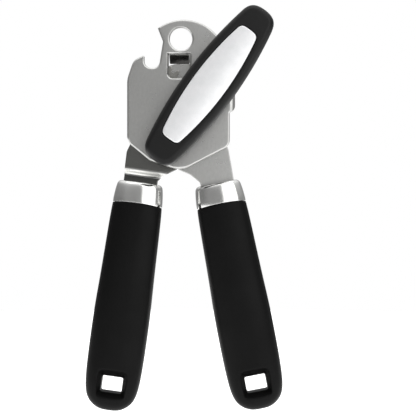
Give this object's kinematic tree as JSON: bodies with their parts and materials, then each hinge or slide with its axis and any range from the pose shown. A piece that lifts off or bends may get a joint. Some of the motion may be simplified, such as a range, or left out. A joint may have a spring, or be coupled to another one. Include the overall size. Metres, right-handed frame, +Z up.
{
  "type": "manual can opener",
  "caption": "Manual can opener with two rubber-gripped handles on a rivet, a long turning knob, a geared cutting wheel and a bottle-opener notch in the steel head.",
  "frame": {"origin": "centre of the hanging hole in the head, on the head plate's front face", "axes": "+X to the right, +Y from the knob towards the back, +Z up from the handles to the head"},
  "size_m": [0.1055, 0.0388, 0.2127],
  "materials": {
    "satin_steel": "satin stamped sheet steel",
    "polished_steel": "bright polished steel",
    "tool_steel": "hardened and tumbled tool steel",
    "brushed_insert": "fine brushed stainless steel",
    "black_rubber": "matt soft-touch rubber",
    "black_nylon": "matt moulded nylon"
  },
  "bodies": {
    "head": {"front_plate": "satin_steel", "left_arm": "satin_steel", "drive_bush": "tool_steel", "arm_rivet_1": "polished_steel", "arm_rivet_2": "polished_steel", "pivot_spacer": "tool_steel", "pivot_washer": "polished_steel", "pivot_rivet": "polished_steel", "left_ferrule": "polished_steel", "left_core": "black_nylon", "left_grip": "black_rubber"},
    "knob": {"knob_body": "black_nylon", "knob_grip": "black_rubber", "knob_insert": "brushed_insert", "knob_screw": "polished_steel", "drive_shaft": "polished_steel", "wave_washer": "tool_steel", "drive_gear": "tool_steel", "feed_wheel": "tool_steel", "feed_washer": "polished_steel"},
    "right_handle": {"right_arm": "satin_steel", "cutter_bush": "tool_steel", "right_ferrule": "polished_steel", "right_core": "black_nylon", "right_grip": "black_rubber"},
    "cutter": {"cutter_gear": "tool_steel", "cutter_spindle": "polished_steel", "cutter_spacer": "tool_steel", "cutter_wheel": "polished_steel", "cutter_cap": "polished_steel"}
  },
  "joints": [
    {"name": "knob_spin", "type": "hinge", "parent": "head", "child": "knob", "pos_m": [0.015, 0, -0.0264], "axis": [0, 1, 0], "continuous": true},
    {"name": "arm_pivot", "type": "hinge", "parent": "head", "child": "right_handle", "pos_m": [0.00182, 0, -0.04461], "axis": [0, 1, 0], "range_deg": [0, 18]},
    {"name": "cutter_spin", "type": "hinge", "parent": "right_handle", "child": "cutter", "pos_m": [-0.00875, 0, -0.02413], "axis": [0, 1, 0], "continuous": true}
  ],
  "couplings": [
    {"joint": "cutter_spin", "follows": "knob_spin", "ratio": -0.84615}
  ]
}
